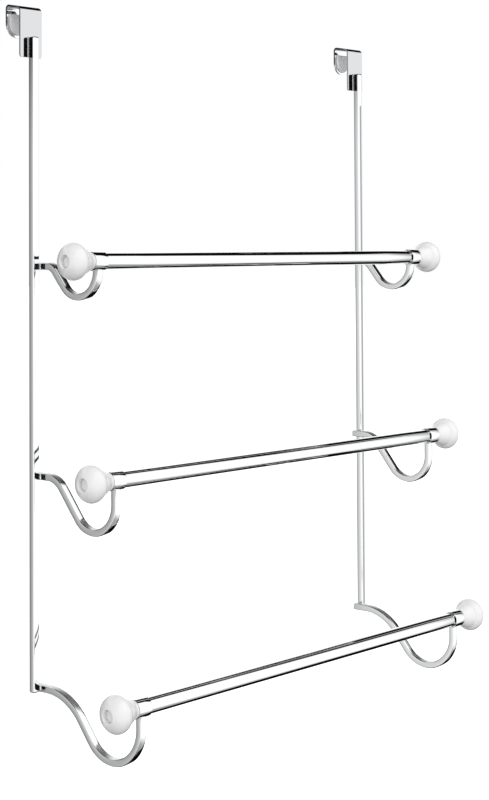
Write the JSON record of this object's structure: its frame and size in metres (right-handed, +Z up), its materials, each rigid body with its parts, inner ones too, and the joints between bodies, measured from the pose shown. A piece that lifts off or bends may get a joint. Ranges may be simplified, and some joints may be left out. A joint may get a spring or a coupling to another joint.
{
  "type": "over-door towel rack",
  "caption": "Over-the-door towel rack: flat hooks carry square uprights with curved arms that hold stepped horizontal tubes between screw-on white knobs.",
  "frame": {"origin": "on top of the door, midway between the two hooks and at mid-thickness of the door; the hooks' top plates rise 10 degrees towards the back and bear on the front edge of the door's top", "axes": "+Z up, front of the rack towards -Y, bars along X with right as +X seen from the front"},
  "size_m": [0.6144, 0.1862, 0.7478],
  "materials": {
    "chrome": "mirror-bright chrome plate",
    "zinc_plated_steel": "dull zinc plate",
    "white_glaze": "glossy white",
    "pad_foam": "matte soft pad"
  },
  "bodies": {
    "rack": {"hook_left": "chrome", "tongue_pad_left": "pad_foam", "leg_pad_left": "pad_foam", "upright_left": "chrome", "hook_right": "chrome", "tongue_pad_right": "pad_foam", "leg_pad_right": "pad_foam", "upright_right": "chrome", "towel_bar_top": "chrome", "arm_top_left": "chrome", "collar_top_left": "chrome", "bar_insert_top_left": "zinc_plated_steel", "arm_top_right": "chrome", "collar_top_right": "chrome", "bar_insert_top_right": "zinc_plated_steel", "towel_bar_middle": "chrome", "arm_middle_left": "chrome", "collar_middle_left": "chrome", "bar_insert_middle_left": "zinc_plated_steel", "arm_middle_right": "chrome", "collar_middle_right": "chrome", "bar_insert_middle_right": "zinc_plated_steel", "towel_bar_bottom": "chrome", "arm_bottom_left": "chrome", "collar_bottom_left": "chrome", "bar_insert_bottom_left": "zinc_plated_steel", "arm_bottom_right": "chrome", "collar_bottom_right": "chrome", "bar_insert_bottom_right": "zinc_plated_steel"},
    "cap_top_left": {"knob_cap_top_left": "white_glaze"},
    "knob_top_left": {"knob_top_left": "white_glaze", "knob_stud_top_left": "zinc_plated_steel"},
    "cap_top_right": {"knob_cap_top_right": "white_glaze"},
    "knob_top_right": {"knob_top_right": "white_glaze", "knob_stud_top_right": "zinc_plated_steel"},
    "cap_middle_left": {"knob_cap_middle_left": "white_glaze"},
    "knob_middle_left": {"knob_middle_left": "white_glaze", "knob_stud_middle_left": "zinc_plated_steel"},
    "cap_middle_right": {"knob_cap_middle_right": "white_glaze"},
    "knob_middle_right": {"knob_middle_right": "white_glaze", "knob_stud_middle_right": "zinc_plated_steel"},
    "cap_bottom_left": {"knob_cap_bottom_left": "white_glaze"},
    "knob_bottom_left": {"knob_bottom_left": "white_glaze", "knob_stud_bottom_left": "zinc_plated_steel"},
    "cap_bottom_right": {"knob_cap_bottom_right": "white_glaze"},
    "knob_bottom_right": {"knob_bottom_right": "white_glaze", "knob_stud_bottom_right": "zinc_plated_steel"}
  },
  "joints": [
    {"name": "knob_top_left_travel", "type": "slide", "parent": "rack", "child": "cap_top_left", "axis": [-1, 0, 0], "range_m": [0, 0.008]},
    {"name": "knob_top_left_turn", "type": "hinge", "parent": "cap_top_left", "child": "knob_top_left", "pos_m": [-0.2728, -0.09905, -0.2564], "axis": [-1, 0, 0], "range_deg": [0, 2880]},
    {"name": "knob_top_right_travel", "type": "slide", "parent": "rack", "child": "cap_top_right", "axis": [1, 0, 0], "range_m": [0, 0.008]},
    {"name": "knob_top_right_turn", "type": "hinge", "parent": "cap_top_right", "child": "knob_top_right", "pos_m": [0.2728, -0.09905, -0.2564], "axis": [1, 0, 0], "range_deg": [0, 2880]},
    {"name": "knob_middle_left_travel", "type": "slide", "parent": "rack", "child": "cap_middle_left", "axis": [-1, 0, 0], "range_m": [0, 0.008]},
    {"name": "knob_middle_left_turn", "type": "hinge", "parent": "cap_middle_left", "child": "knob_middle_left", "pos_m": [-0.2728, -0.12335, -0.4688], "axis": [-1, 0, 0], "range_deg": [0, 2880]},
    {"name": "knob_middle_right_travel", "type": "slide", "parent": "rack", "child": "cap_middle_right", "axis": [1, 0, 0], "range_m": [0, 0.008]},
    {"name": "knob_middle_right_turn", "type": "hinge", "parent": "cap_middle_right", "child": "knob_middle_right", "pos_m": [0.2728, -0.12335, -0.4688], "axis": [1, 0, 0], "range_deg": [0, 2880]},
    {"name": "knob_bottom_left_travel", "type": "slide", "parent": "rack", "child": "cap_bottom_left", "axis": [-1, 0, 0], "range_m": [0, 0.008]},
    {"name": "knob_bottom_left_turn", "type": "hinge", "parent": "cap_bottom_left", "child": "knob_bottom_left", "pos_m": [-0.2728, -0.15635, -0.6812], "axis": [-1, 0, 0], "range_deg": [0, 2880]},
    {"name": "knob_bottom_right_travel", "type": "slide", "parent": "rack", "child": "cap_bottom_right", "axis": [1, 0, 0], "range_m": [0, 0.008]},
    {"name": "knob_bottom_right_turn", "type": "hinge", "parent": "cap_bottom_right", "child": "knob_bottom_right", "pos_m": [0.2728, -0.15635, -0.6812], "axis": [1, 0, 0], "range_deg": [0, 2880]}
  ],
  "couplings": [
    {"joint": "knob_top_left_travel", "follows": "knob_top_left_turn", "m_per_rad": 0.00015915},
    {"joint": "knob_top_right_travel", "follows": "knob_top_right_turn", "m_per_rad": 0.00015915},
    {"joint": "knob_middle_left_travel", "follows": "knob_middle_left_turn", "m_per_rad": 0.00015915},
    {"joint": "knob_middle_right_travel", "follows": "knob_middle_right_turn", "m_per_rad": 0.00015915},
    {"joint": "knob_bottom_left_travel", "follows": "knob_bottom_left_turn", "m_per_rad": 0.00015915},
    {"joint": "knob_bottom_right_travel", "follows": "knob_bottom_right_turn", "m_per_rad": 0.00015915}
  ]
}
